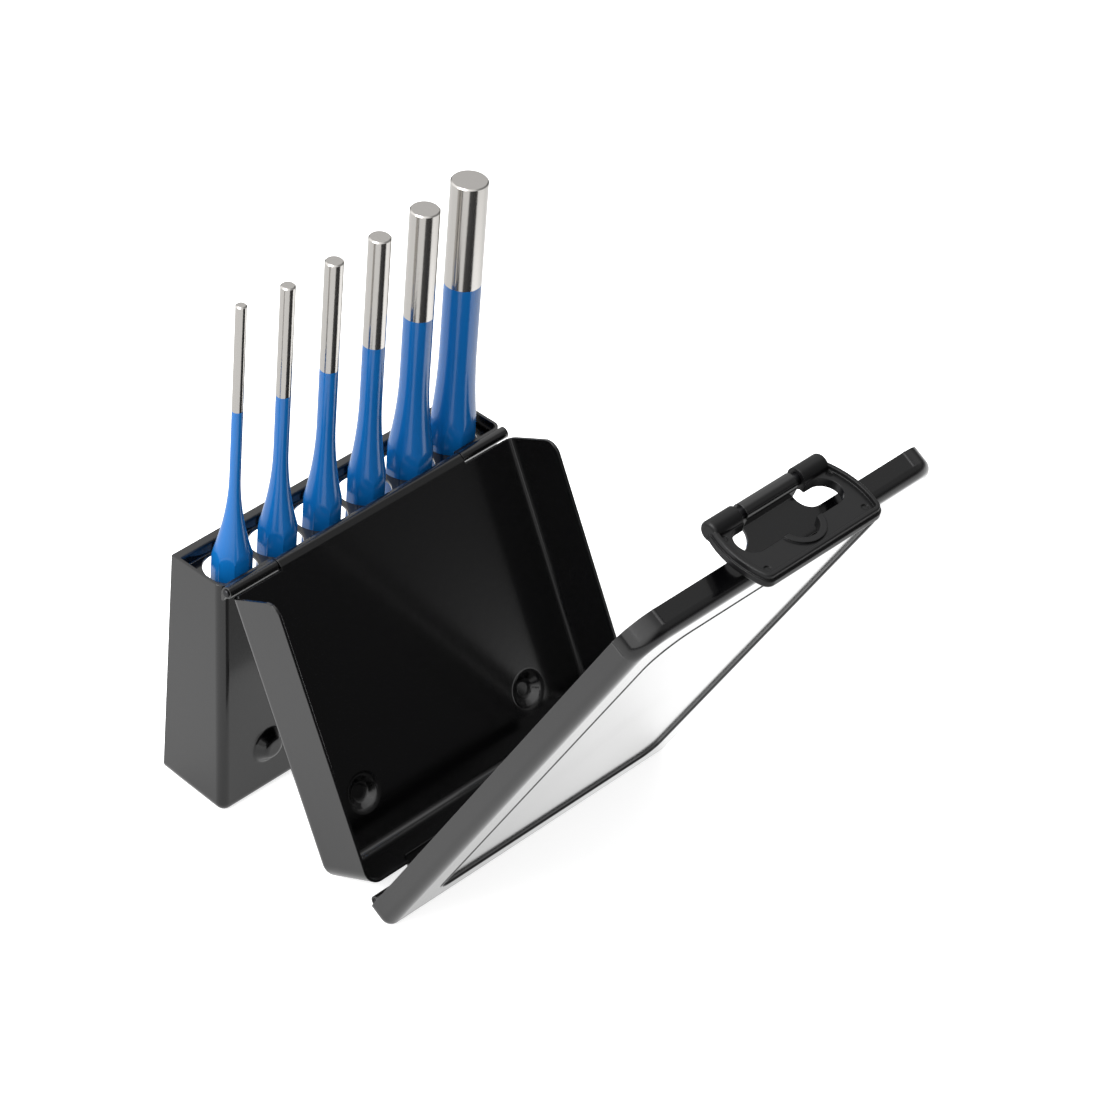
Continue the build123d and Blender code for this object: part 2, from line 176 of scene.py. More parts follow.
def noise(tree: bpy.types.NodeTree, size_mm: float, detail: float) -> bpy.types.Node:
    """Adds a noise of a real size that is fixed to the piece.

    Args:
        tree: Tree of the material.
        size_mm: Size of the noise, in millimetres.
        detail: How many finer layers it has.

    Returns:
        The noise, from 0 to 1 round a middle of 0.5.
    """
    place = add_node(tree, "ShaderNodeTexCoord")
    return add_node(
        tree,
        "ShaderNodeTexNoise",
        {"Vector": place.outputs["Object"], "Scale": 1 / (size_mm * MM), "Detail": detail},
    )


def wander(
    tree: bpy.types.NodeTree, source: bpy.types.Node, middle: float, low: float, high: float
) -> bpy.types.Node:
    """Lets a value wander round its middle as a noise does.

    Args:
        tree: Tree of the material.
        source: The noise.
        middle: The value's middle.
        low: Least value, as a share of the middle.
        high: Greatest value, as a share of the middle.

    Returns:
        The wandering value.
    """
    return ramp(tree, source.outputs[0], (0.0, 1.0), (middle * low, middle * high))


def relief(
    tree: bpy.types.NodeTree, pattern: bpy.types.Node, depth_mm: float, edge_mm: float = 0.0
) -> bpy.types.Node:
    """Adds a fine relief, and rounds the sharp edges to the eye where a radius is given.

    Args:
        tree: Tree of the material.
        pattern: Height of the relief, from 0 to 1.
        depth_mm: Its depth, in millimetres.
        edge_mm: Radius of the edges, in millimetres, or 0 to leave them sharp.

    Returns:
        The surface's new normal.
    """
    inputs: dict[str, Any] = {"Height": pattern, "Distance": depth_mm * MM}
    if edge_mm:
        inputs["Normal"] = add_node(
            tree, "ShaderNodeBevel", {"Radius": edge_mm * MM}, samples=SHADE_SAMPLES
        )
    return add_node(tree, "ShaderNodeBump", inputs)


@dataclass(frozen=True)
class BlackEnamel:
    """Black stoving enamel sprayed on sheet steel: a deep gloss with faint orange peel.

    The clear top of the paint mirrors the white floor at low angles, and the edges of the
    sheet are rounded by the paint, so each of them carries a thin line of light.
    """

    name: str = "black stoving enamel"
    colour: str = "#030304"
    peel_mm: float = 2.2
    peel_depth_mm: float = 0.0035
    edge_mm: float = 0.3
    cloud_mm: float = 30.0
    roughness: float = 0.2
    coat_roughness: float = 0.12
    undercoat_gloss: float = 0.2

    def material(self) -> bpy.types.Material:
        """Builds the enamel: black with a clear top that mirrors softly.

        Returns:
            The enamel's node material.
        """
        material, tree = new_material(self.name)
        peel = relief(tree, noise(tree, self.peel_mm, 1.0), self.peel_depth_mm, self.edge_mm)
        rough = wander(tree, noise(tree, self.cloud_mm, 3.0), self.roughness, 0.8, 1.2)
        shader = add_node(
            tree,
            "ShaderNodeBsdfPrincipled",
            {
                "Base Color": linear(self.colour),
                "Roughness": rough,
                "Normal": peel,
                "Coat Normal": peel,
                "Coat Weight": 1.0,
                "Coat Roughness": self.coat_roughness,
                "Specular IOR Level": self.undercoat_gloss,
                "IOR": 1.5,
            },
        )
        add_node(tree, "ShaderNodeOutputMaterial", {"Surface": shader})
        return material


@dataclass(frozen=True)
class MouldedNylon:
    """Black nylon, injection moulded: a soft sheen over a fine spark-eroded grain."""

    name: str = "black moulded nylon"
    colour: str = "#0b0b0c"
    grain_mm: float = 0.35
    grain_depth_mm: float = 0.012
    edge_mm: float = 0.45
    flow_mm: float = 7.0
    roughness: float = 0.3
    sheen: float = 0.28

    def material(self) -> bpy.types.Material:
        """Builds the plastic: near black with a faint sheen.

        Returns:
            The plastic's node material.
        """
        material, tree = new_material(self.name)
        grain = relief(tree, noise(tree, self.grain_mm, 2.0), self.grain_depth_mm, self.edge_mm)
        rough = wander(tree, noise(tree, self.flow_mm, 3.0), self.roughness, 0.85, 1.15)
        shader = add_node(
            tree,
            "ShaderNodeBsdfPrincipled",
            {
                "Base Color": linear(self.colour),
                "Roughness": rough,
                "Normal": grain,
                "Specular IOR Level": self.sheen,
                "IOR": 1.53,
            },
        )
        add_node(tree, "ShaderNodeOutputMaterial", {"Surface": shader})
        return material


@dataclass(frozen=True)
class DrawnWire:
    """Blackened steel wire: dark grey metal with fine draw lines along it."""

    name: str = "blackened drawn steel wire"
    colour: str = "#3b3b3d"
    line_mm: float = 0.25
    line_depth_mm: float = 0.01
    line_stretch: float = 25.0
    roughness: float = 0.32

    def material(self) -> bpy.types.Material:
        """Builds the wire: dull metal with lines along it.

        Returns:
            The wire's node material.
        """
        material, tree = new_material(self.name)
        place = add_node(tree, "ShaderNodeTexCoord")
        stretch = add_node(
            tree,
            "ShaderNodeMapping",
            {"Vector": place.outputs["Object"], "Scale": (1 / self.line_stretch, 1.0, 1.0)},
        )
        lines = add_node(
            tree,
            "ShaderNodeTexNoise",
            {"Vector": stretch, "Scale": 1 / (self.line_mm * MM), "Detail": 2.0},
        )
        shader = add_node(
            tree,
            "ShaderNodeBsdfPrincipled",
            {
                "Base Color": linear(self.colour),
                "Metallic": 1.0,
                "Roughness": self.roughness,
                "Normal": relief(tree, lines, self.line_depth_mm),
            },
        )
        add_node(tree, "ShaderNodeOutputMaterial", {"Surface": shader})
        return material


@dataclass(frozen=True)
class PunchFinish:
    """Blue dipped enamel up to a line, and bare ground tool steel beyond it.

    The piece's attribute "below_line" is the distance below the end of its paint in
    millimetres, so it is negative on the bare end. The steel keeps the fine rings of grinding.
    """

    name: str = "blue enamel and ground tool steel"
    paint: str = "#0b62a8"
    steel: str = "#c6c3bf"
    waver_mm: float = 0.25
    waver_reach_mm: float = 3.0
    line_softness_mm: float = 0.06
    ring_mm: float = 0.45
    mottle_mm: float = 0.8
    grind_depth_mm: float = 0.006
    run_mm: float = 4.0
    run_depth_mm: float = 0.02
    paint_roughness: float = 0.2
    dip_gloss: float = 0.3
    dip_roughness: float = 0.06
    steel_roughness: float = 0.17

    def material(self) -> bpy.types.Material:
        """Builds the punch: glossy blue below its paint line and bright steel beyond it.

        Returns:
            The punch's node material.
        """
        material, tree = new_material(self.name)
        below_line = add_node(tree, "ShaderNodeAttribute", attribute_name="below_line")
        waver = add_node(
            tree,
            "ShaderNodeMath",
            {
                0: noise(tree, self.waver_reach_mm, 1.0),
                1: 2 * self.waver_mm,
                2: below_line.outputs["Fac"],
            },
            operation="MULTIPLY_ADD",
        )
        line = (self.waver_mm - self.line_softness_mm, self.waver_mm + self.line_softness_mm)
        painted = ramp(tree, waver.outputs[0], line, (0.0, 1.0))
        mixed = add_node(
            tree,
            "ShaderNodeMixShader",
            {"Fac": painted, 1: self.ground_steel(tree, below_line), 2: self.blue_paint(tree)},
        )
        add_node(tree, "ShaderNodeOutputMaterial", {"Surface": mixed})
        return material

    def ground_steel(
        self, tree: bpy.types.NodeTree, below_line: bpy.types.Node
    ) -> bpy.types.Node:
        """Adds the bare steel with its grinding rings.

        Args:
            tree: Tree of the material.
            below_line: Distance below the paint's end, in millimetres.

        Returns:
            The steel's shader.
        """
        rings = add_node(
            tree,
            "ShaderNodeTexNoise",
            {
                "W": add_node(
                    tree,
                    "ShaderNodeMath",
                    {0: below_line.outputs["Fac"], 1: 1 / self.ring_mm},
                    operation="MULTIPLY",
                ),
                "Scale": 1.0,
                "Detail": 3.0,
            },
            noise_dimensions="1D",
        )
        mottle = noise(tree, self.mottle_mm, 3.0)
        grinding = add_node(tree, "ShaderNodeMath", {0: rings, 1: mottle}, operation="ADD")
        return add_node(
            tree,
            "ShaderNodeBsdfPrincipled",
            {
                "Base Color": linear(self.steel),
                "Metallic": 1.0,
                "Roughness": wander(tree, mottle, self.steel_roughness, 0.75, 1.3),
                "Normal": relief(tree, grinding, self.grind_depth_mm),
            },
        )

    def blue_paint(self, tree: bpy.types.NodeTree) -> bpy.types.Node:
        """Adds the dipped enamel with its soft runs.

        Args:
            tree: Tree of the material.

        Returns:
            The paint's shader.
        """
        runs = relief(tree, noise(tree, self.run_mm, 2.0), self.run_depth_mm)
        return add_node(
            tree,
            "ShaderNodeBsdfPrincipled",
            {
                "Base Color": linear(self.paint),
                "Roughness": self.paint_roughness,
                "Normal": runs,
                "Coat Weight": self.dip_gloss,
                "Coat Roughness": self.dip_roughness,
                "IOR": 1.5,
            },
        )


def dress(node: bpy.types.Object, material: bpy.types.Material) -> None:
    """Gives a piece one material in place of all it has.

    Args:
        node: Mesh object of the piece.
        material: Its finish.
    """
    node.data.materials.clear()
    node.data.materials.append(material)
    LOG.info("%s: %s", node.name, material.name)


def new_shape(name: str, sizes: tuple[str, ...]) -> bpy.types.GeometryNodeTree:
    """Makes a Geometry Nodes tree that takes sizes and a finish, and gives a piece.

    Args:
        name: Name of the tree.
        sizes: Names of its sizes.

    Returns:
        The tree, still without nodes.
    """
    tree = bpy.data.node_groups.new(name, "GeometryNodeTree")
    tree.interface.new_socket("Geometry", in_out="OUTPUT", socket_type="NodeSocketGeometry")
    for size in sizes:
        tree.interface.new_socket(size, in_out="INPUT", socket_type="NodeSocketFloat")
    tree.interface.new_socket("Finish", in_out="INPUT", socket_type="NodeSocketMaterial")
    return tree


def end_shape(
    tree: bpy.types.GeometryNodeTree, geometry: bpy.types.Node, finish: bpy.types.NodeSocket
) -> None:
    """Ends a Geometry Nodes tree: gives its geometry the finish and hands it out.

    Args:
        tree: The tree.
        geometry: What it made.
        finish: Its input for the material.
    """
    real = add_node(tree, "GeometryNodeRealizeInstances", {"Geometry": geometry})
    dressed = add_node(tree, "GeometryNodeSetMaterial", {"Geometry": real, "Material": finish})
    add_node(tree, "NodeGroupOutput", {"Geometry": dressed})


def cast(name: str, tree: bpy.types.GeometryNodeTree, values: dict[str, Any]) -> bpy.types.Object:
    """Turns a Geometry Nodes tree with its inputs set into a plain mesh object.

    Args:
        name: Name of the piece.
        tree: Tree that makes it.
        values: Value of each of the tree's inputs, by name.

    Returns:
        The piece's object, at the origin.
    """
    seed = bpy.data.objects.new(f"{name}_seed", bpy.data.meshes.new(f"{name}_seed"))
    bpy.context.scene.collection.objects.link(seed)
    modifier = seed.modifiers.new(tree.name, "NODES")
    modifier.node_group = tree
    for item in tree.interface.items_tree:
        if item.in_out == "INPUT":
            modifier[item.identifier] = values[item.name]
    bpy.context.view_layer.update()
    graph = bpy.context.evaluated_depsgraph_get()
    mesh = bpy.data.meshes.new_from_object(seed.evaluated_get(graph))
    seed.modifiers.remove(modifier)
    bpy.data.objects.remove(seed)
    mesh.name = name
    piece = bpy.data.objects.new(name, mesh)
    bpy.context.scene.collection.objects.link(piece)
    return piece


@dataclass
class PanelBead:
    """Fine bead that the press leaves round the lid's sunk panel, in millimetres.

    It follows the panel's lip, and its corners are larger at the lid's free end. Both heights
    are along the lid: of the bead's middle, and of the spot on its face that the record gives.
    """

    face: dict[str, Any]
    width: float = 81.0
    length: float = 140.1
    middle_up: float = 82.05
    face_up: float = 7.5
    free_corner: float = 10.0
    hinge_corner: float = 5.0
    wire: float = 0.3
    proud: float = 0.2
    corner_steps: int = 12
    wire_sides: int = 12

    def tree(self) -> bpy.types.GeometryNodeTree:
        """Builds the bead's tree: a rounded frame swept with a small circle.

        Returns:
            The tree, with its inputs named.
        """
        tree = new_shape("panel bead", ("Width", "Length", "Free Corner", "Hinge Corner", "Wire"))
        sizes = add_node(tree, "NodeGroupInput").outputs
        frame = add_node(
            tree,
            "GeometryNodeCurvePrimitiveQuadrilateral",
            {"Width": sizes["Width"], "Height": sizes["Length"]},
        )
        place = add_node(
            tree, "ShaderNodeSeparateXYZ", {0: add_node(tree, "GeometryNodeInputPosition")}
        )
        at_free_end = add_node(
            tree, "ShaderNodeMath", {0: place.outputs["Y"], 1: 0.0}, operation="GREATER_THAN"
        )
        spare = add_node(
            tree,
            "ShaderNodeMath",
            {0: sizes["Free Corner"], 1: sizes["Hinge Corner"]},
            operation="SUBTRACT",
        )
        corner = add_node(
            tree,
            "ShaderNodeMath",
            {0: at_free_end, 1: spare, 2: sizes["Hinge Corner"]},
            operation="MULTIPLY_ADD",
        )
        rounded = add_node(
            tree,
            "GeometryNodeFilletCurve",
            {"Curve": frame, "Count": self.corner_steps, "Radius": corner},
            mode="POLY",
        )
        ring = add_node(
            tree,
            "GeometryNodeCurvePrimitiveCircle",
            {"Resolution": self.wire_sides, "Radius": sizes["Wire"]},
        )
        swept = add_node(
            tree, "GeometryNodeCurveToMesh", {"Curve": rounded, "Profile Curve": ring}
        )
        smooth = add_node(tree, "GeometryNodeSetShadeSmooth", {"Geometry": swept}, domain="FACE")
        end_shape(tree, smooth, sizes["Finish"])
        return tree

    def build(self, finish: bpy.types.Material) -> None:
        """Makes the bead and lays it on the lid's outer face.

        Args:
            finish: The case's enamel.
        """
        values = {
            "Width": self.width * MM,
            "Length": self.length * MM,
            "Free Corner": self.free_corner * MM,
            "Hinge Corner": self.hinge_corner * MM,
            "Wire": self.wire * MM,
            "Finish": finish,
        }
        bead = cast("lid_panel_bead", self.tree(), values)
        outward = Vector(self.face["axis"]).normalized()
        along = outward.cross(Vector((1, 0, 0)))
        middle = Vector(self.face["pos_m"])
        middle += along * (self.middle_up - self.face_up) * MM
        middle += outward * (self.proud - self.wire) * MM
        turned = Matrix((Vector((1, 0, 0)), along, outward)).transposed()
        bead.data.transform(Matrix.Translation(middle) @ turned.to_4x4())
        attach(bead, "lid")
        LOG.info("%s: %d faces", bead.name, len(bead.data.polygons))


@dataclass
class FoldingCase:
    """Holder, punch plate, tray and lid, pressed from sheet steel and enamelled."""

    nodes: dict[str, bpy.types.Object]
    record: dict[str, Any]
    finish: BlackEnamel = BlackEnamel()
    parts: tuple[str, ...] = ("tray", "holder_shell", "punch_plate", "lid")

    def build(self) -> None:
        """Dresses the four sheet pieces in the case's enamel and adds the panel's bead."""
        material = self.finish.material()
        for part in self.parts:
            dress(self.nodes[part], material)
        mounts = {mount["name"]: mount for mount in self.record["mounts"]}
        PanelBead(mounts["lid_face"]).build(material)


@dataclass
class HingeWires:
    """The three wire pins that the case, the lid and the latch turn on."""

    nodes: dict[str, bpy.types.Object]
    finish: DrawnWire = DrawnWire()
    parts: tuple[str, ...] = ("holder_hinge_pin", "lid_hinge_pin", "latch_pin")

    def build(self) -> None:
        """Dresses the wires."""
        material = self.finish.material()
        for part in self.parts:
            dress(self.nodes[part], material)


@dataclass
class Latch:
    """Moulded latch on the lid's free end."""

    nodes: dict[str, bpy.types.Object]
    finish: MouldedNylon = MouldedNylon()

    def build(self) -> None:
        """Dresses the latch."""
        dress(self.nodes["latch"], self.finish.material())


@dataclass(frozen=True)
class PunchSizes:
    """Sizes of one pin punch, in millimetres, and how far it has turned, in degrees.

    Bare is the length of its ground end, from the tip to the end of the paint.
    """

    pin: float
    length: float
    across_flats: float
    bare: float
    turn: float = 0.0
    shank_length: float = 75.0
    neck_length: float = 25.0
    tip_chamfer: float = 0.35
    foot_chamfer: float = 0.8


@dataclass
class PunchTree:
    """Geometry Nodes tree of a pin punch: octagonal shank, bell-shaped neck and round pin.

    A grid is wrapped round the axis. Each of its rows is a ring, and the row between shank and
    neck follows the scalloped line where the bell cuts the eight flats, so that it stays crisp.
    """

    segments: int = 96
    foot_rows: int = 3
    neck_rings: int = 22
    tip_rows: int = 3
    weld_mm: float = 0.005
    sharp_degrees: float = 24.0
    tree: bpy.types.GeometryNodeTree = field(init=False)

    def __post_init__(self) -> None:
        """Makes the tree with its named inputs."""
        inputs = (
            "Pin Radius",
            "Length",
            "Flat Radius",
            "Shank Length",
            "Neck Length",
            "Tip Chamfer",
            "Foot Chamfer",
            "Bare Length",
            "Turn",
        )
        self.tree = new_shape("pin punch", inputs)
        self.build()

    def sum_of(self, operation: str, *values: Any) -> bpy.types.NodeSocket:
        """Adds a sum to the tree.

        Args:
            operation: Blender's name of the operation.
            values: Numbers or sockets that go in, in order.

        Returns:
            Its result.
        """
        node = add_node(self.tree, "ShaderNodeMath", dict(enumerate(values)), operation=operation)
        return node.outputs[0]

    def build(self) -> None:
        """Builds the tree: a flat grid, and where each of its points goes round the axis."""
        tree = self.tree
        sums = self.sum_of
        sizes = add_node(tree, "NodeGroupInput").outputs
        rows = self.foot_rows + self.neck_rings + 1 + self.tip_rows
        grid = add_node(
            tree,
            "GeometryNodeMeshGrid",
            {"Size X": 1.0, "Size Y": 1.0, "Vertices X": self.segments + 1, "Vertices Y": rows},
        )
        place = add_node(
            tree, "ShaderNodeSeparateXYZ", {0: add_node(tree, "GeometryNodeInputPosition")}
        )
        round_way = sums("MULTIPLY", sums("ADD", place.outputs["X"], 0.5), math.tau)
        row = sums("ROUND", sums("MULTIPLY", sums("ADD", place.outputs["Y"], 0.5), rows - 1.0))
        radius, up = self.ring(sizes, round_way, row)
        angle = sums("ADD", round_way, sizes["Turn"])
        spot = add_node(
            tree,
            "ShaderNodeCombineXYZ",
            {
                "X": sums("MULTIPLY", radius, sums("COSINE", angle)),
                "Y": sums("MULTIPLY", radius, sums("SINE", angle)),
                "Z": up,
            },
        )
        paint_end = sums("SUBTRACT", sizes["Length"], sizes["Bare Length"])
        measured = add_node(
            tree,
            "GeometryNodeStoreNamedAttribute",
            {
                "Geometry": grid.outputs["Mesh"],
                "Name": "below_line",
                "Value": sums("MULTIPLY", sums("SUBTRACT", paint_end, up), 1 / MM),
            },
            data_type="FLOAT",
            domain="POINT",
        )
        wrapped = add_node(
            tree, "GeometryNodeSetPosition", {"Geometry": measured, "Position": spot}
        )
        end_shape(tree, self.closed(wrapped), sizes["Finish"])

    def ring(
        self,
        sizes: bpy.types.NodeOutputs,
        round_way: bpy.types.NodeSocket,
        row: bpy.types.NodeSocket,
    ) -> tuple[bpy.types.NodeSocket, bpy.types.NodeSocket]:
        """Works out a point of one of the rings.

        Args:
            sizes: The tree's inputs.
            round_way: The point's way round the axis, in radians.
            row: Number of its row, from the foot.

        Returns:
            The point's distance from the axis, and its height.
        """
        sums = self.sum_of
        eighth = math.radians(45)
        across = sums("WRAP", round_way, eighth / 2, -eighth / 2)
        flat = sums("DIVIDE", sizes["Flat Radius"], sums("COSINE", across))
        corner = sums("DIVIDE", sizes["Flat Radius"], math.cos(eighth / 2))
        foot = sums("SUBTRACT", corner, sizes["Foot Chamfer"])
        neck_row = sums("SUBTRACT", row, float(self.foot_rows))
        share = sums("DIVIDE", neck_row, float(self.neck_rings))
        neck_radius, drop = self.neck(sizes, flat, corner, share)
        neck_end = sums("ADD", sizes["Shank Length"], sizes["Neck Length"])

        # Stages: foot middle, foot edge, foot chamfer, neck, pin end, tip edge and tip middle.
        past_neck = sums("SUBTRACT", neck_row, float(self.neck_rings))
        stage = sums(
            "ADD",
            sums("MINIMUM", row, float(self.foot_rows)),
            sums("MAXIMUM", past_neck, 0.0),
        )
        radius = self.by_stage(
            stage,
            0.0,
            foot,
            flat,
            neck_radius,
            sizes["Pin Radius"],
            sums("SUBTRACT", sizes["Pin Radius"], sizes["Tip Chamfer"]),
            0.0,
        )
        up = self.by_stage(
            stage,
            0.0,
            0.0,
            sums("SUBTRACT", flat, foot),
            sums("SUBTRACT", neck_end, drop),
            sums("SUBTRACT", sizes["Length"], sizes["Tip Chamfer"]),
            sizes["Length"],
            sizes["Length"],
        )
        return radius, up

    def neck(
        self,
        sizes: bpy.types.NodeOutputs,
        flat: bpy.types.NodeSocket,
        corner: bpy.types.NodeSocket,
        share: bpy.types.NodeSocket,
    ) -> tuple[bpy.types.NodeSocket, bpy.types.NodeSocket]:
        """Works out a point of the neck.

        The bell is an arc that leaves the pin upright and ends on the octagon's corners.

        Args:
            sizes: The tree's inputs.
            flat: The shank's radius in the point's direction.
            corner: The shank's radius at its corners.
            share: How far the point is on its way, from 0 at the flat to 1 at the pin.

        Returns:
            The point's distance from the axis, and how far it is below the neck's end.
        """
        sums = self.sum_of
        swell = sums("SUBTRACT", corner, sizes["Pin Radius"])
        neck_square = sums("MULTIPLY", sizes["Neck Length"], sizes["Neck Length"])
        bell = sums(
            "DIVIDE",
            sums("ADD", sums("MULTIPLY", swell, swell), neck_square),
            sums("MULTIPLY", swell, 2.0),
        )
        bell_square = sums("MULTIPLY", bell, bell)
        inward = sums("SUBTRACT", bell, sums("SUBTRACT", flat, sizes["Pin Radius"]))
        below = sums("SQRT", sums("SUBTRACT", bell_square, sums("MULTIPLY", inward, inward)))
        drop = sums("MULTIPLY", below, sums("SUBTRACT", 1.0, share))
        radius = sums(
            "SUBTRACT",
            sums("ADD", sizes["Pin Radius"], bell),
            sums("SQRT", sums("SUBTRACT", bell_square, sums("MULTIPLY", drop, drop))),
        )
        return radius, drop

    def closed(self, wrapped: bpy.types.Node) -> bpy.types.Node:
        """Welds the wrapped grid into a closed skin that is smooth up to its crisp edges.

        Args:
            wrapped: The grid round the axis, still open along its seam.

        Returns:
            The skin.
        """
        welded = add_node(
            self.tree,
            "GeometryNodeMergeByDistance",
            {"Geometry": wrapped, "Distance": self.weld_mm * MM},
        )
        smooth = add_node(
            self.tree, "GeometryNodeSetShadeSmooth", {"Geometry": welded}, domain="FACE"
        )
        bend = add_node(self.tree, "GeometryNodeInputMeshEdgeAngle").outputs["Unsigned Angle"]
        sharp = self.sum_of("GREATER_THAN", bend, math.radians(self.sharp_degrees))
        return add_node(
            self.tree,
            "GeometryNodeSetShadeSmooth",
            {"Geometry": smooth, "Selection": sharp, "Shade Smooth": False},
            domain="EDGE",
        )

    def by_stage(self, stage: bpy.types.NodeSocket, *values: Any) -> bpy.types.NodeSocket:
        """Picks one of several values by a row's stage.

        Args:
            stage: Number of the stage, from 0.
            values: A number or a socket for each stage.

        Returns:
            The value of the row's stage.
        """
        node = self.tree.nodes.new("GeometryNodeIndexSwitch")
        node.data_type = "FLOAT"
        while len(node.index_switch_items) < len(values):
            node.index_switch_items.new()
        self.tree.links.new(stage, node.inputs["Index"])
        for socket, value in zip(node.inputs[1:], values):
            if isinstance(value, bpy.types.NodeSocket):
                self.tree.links.new(value, socket)
            else:
                socket.default_value = value
        return node.outputs[0]

    def forge(
        self, name: str, sizes: PunchSizes, finish: bpy.types.Material
    ) -> bpy.types.Object:
        """Makes one punch as a plain mesh, standing upright on its foot at the origin.

        Args:
            name: Name of the punch.
            sizes: Its sizes.
            finish: Its material.

        Returns:
            The punch's object.
        """
        values = {
            "Pin Radius": sizes.pin / 2 * MM,
            "Length": sizes.length * MM,
            "Flat Radius": sizes.across_flats / 2 * MM,
            "Shank Length": sizes.shank_length * MM,
            "Neck Length": sizes.neck_length * MM,
            "Tip Chamfer": sizes.tip_chamfer * MM,
            "Foot Chamfer": sizes.foot_chamfer * MM,
            "Bare Length": sizes.bare * MM,
            "Turn": math.radians(sizes.turn),
            "Finish": finish,
        }
        return cast(name, self.tree, values)


@dataclass
class PunchRow:
    """Six punches: an octagonal shank, a bell-shaped neck and a round pin with a ground end."""

    record: dict[str, Any]
    finish: PunchFinish = PunchFinish()
    sizes: tuple[PunchSizes, ...] = (
        PunchSizes(pin=3, length=151.4, across_flats=10.0, bare=31.6, turn=-13.0),
        PunchSizes(pin=4, length=149.8, across_flats=10.0, bare=33.0, turn=-4.0),
        PunchSizes(pin=5, length=149.7, across_flats=10.0, bare=32.6),
        PunchSizes(pin=6, length=149.6, across_flats=10.0, bare=32.6),
        PunchSizes(pin=8, length=150.6, across_flats=12.0, bare=32.3),
        PunchSizes(pin=10, length=152.2, across_flats=12.0, bare=31.1),
    )

    def build(self) -> None:
        """Forges the six punches and stands them where the CAD has them."""
        finish = self.finish.material()
        tree = PunchTree()
        mounts = {mount["name"]: mount for mount in self.record["mounts"]}
        for sizes in self.sizes:
            node = f"punch_{sizes.pin:g}_mm"
            punch = tree.forge(f"pin_punch_{sizes.pin:g}_mm", sizes, finish)
            punch.data.transform(self.stand(mounts[f"drive_pin_{sizes.pin:g}_mm"], sizes))
            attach(punch, node)
            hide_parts(node)
            LOG.info("%s: %d faces", punch.name, len(punch.data.polygons))

    def stand(self, mount: dict[str, Any], sizes: PunchSizes) -> Matrix:
        """Finds the place of a punch from the record's measure of its pin.

        Args:
            mount: The pin's mount in the record.
            sizes: The punch's sizes.

        Returns:
            Matrix that stands an upright punch on its seat in the holder.
        """
        axis = Vector(mount["axis"]).normalized()
        pin_start = sizes.shank_length + sizes.neck_length
        middle = (pin_start + sizes.length - sizes.tip_chamfer) / 2
        seat = Vector(mount["pos_m"]) - axis * middle * MM
        up = Vector((0, axis.y, axis.z)).normalized()
        sideways = up.cross(Vector((1, 0, 0))).cross(axis).normalized()
        turned = Matrix((sideways, axis.cross(sideways), axis)).transposed()
        return Matrix.Translation(seat) @ turned.to_4x4()


@dataclass(frozen=True)
class Glow:
    """Soft patch of light in the surroundings.

    It fades in between two cosines of the angle from its direction.
    """

    direction: tuple[float, float, float]
    fade_from: float
    full_from: float
    strength: float


